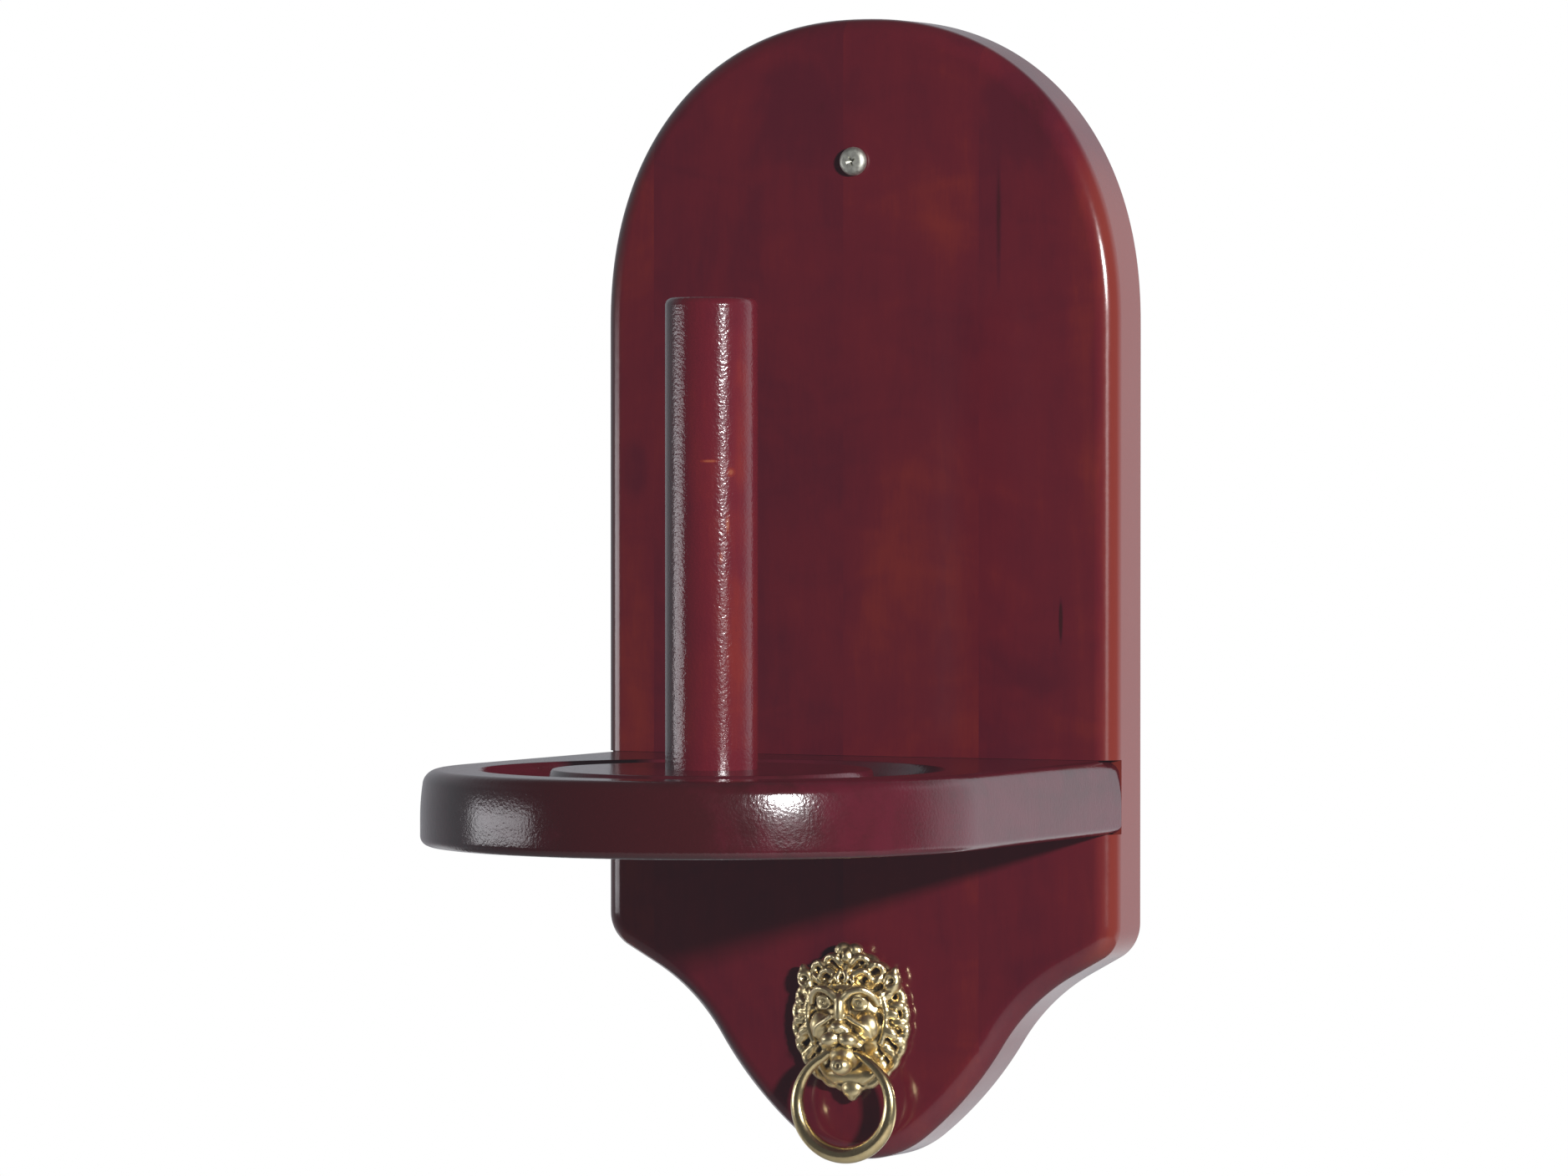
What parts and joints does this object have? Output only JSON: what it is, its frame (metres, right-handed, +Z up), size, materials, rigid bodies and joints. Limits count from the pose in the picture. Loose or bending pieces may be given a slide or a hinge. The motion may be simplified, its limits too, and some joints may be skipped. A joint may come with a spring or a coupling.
{
  "type": "wall chalk cone holder",
  "caption": "Arched wooden wall board with a round-fronted dust tray and upright post for a cone of hand chalk, and a lion mask with a swinging pull ring for a towel.",
  "frame": {"origin": "on the board's flat back, on the centre line, at the height of the tray's top", "axes": "+Z up the wall, +Y into the wall, -Y out over the tray, +X to the right as seen from the room"},
  "size_m": [0.157, 0.2193, 0.3195],
  "materials": {
    "stained_hardwood": "mahogany stain under clear gloss lacquer",
    "polished_brass": "cast and polished, dark in the hollows",
    "plated_steel": "zinc plated"
  },
  "bodies": {
    "holder": {"backboard_stave_left": "stained_hardwood", "backboard_stave_inner_left": "stained_hardwood", "backboard_stave_inner_right": "stained_hardwood", "backboard_stave_right": "stained_hardwood", "tray": "stained_hardwood", "post": "stained_hardwood", "post_screw": "plated_steel", "tray_screw_left": "plated_steel", "tray_screw_right": "plated_steel", "wall_screw": "plated_steel", "mask_screw": "plated_steel", "mask_washer": "plated_steel", "lion_mask": "polished_brass"},
    "ring": {"pull_ring": "polished_brass"}
  },
  "joints": [
    {"name": "ring_swing", "type": "hinge", "parent": "holder", "child": "ring", "pos_m": [0, -0.027, -0.0826], "axis": [-1, 0, 0], "range_deg": [-8, 120]}
  ]
}
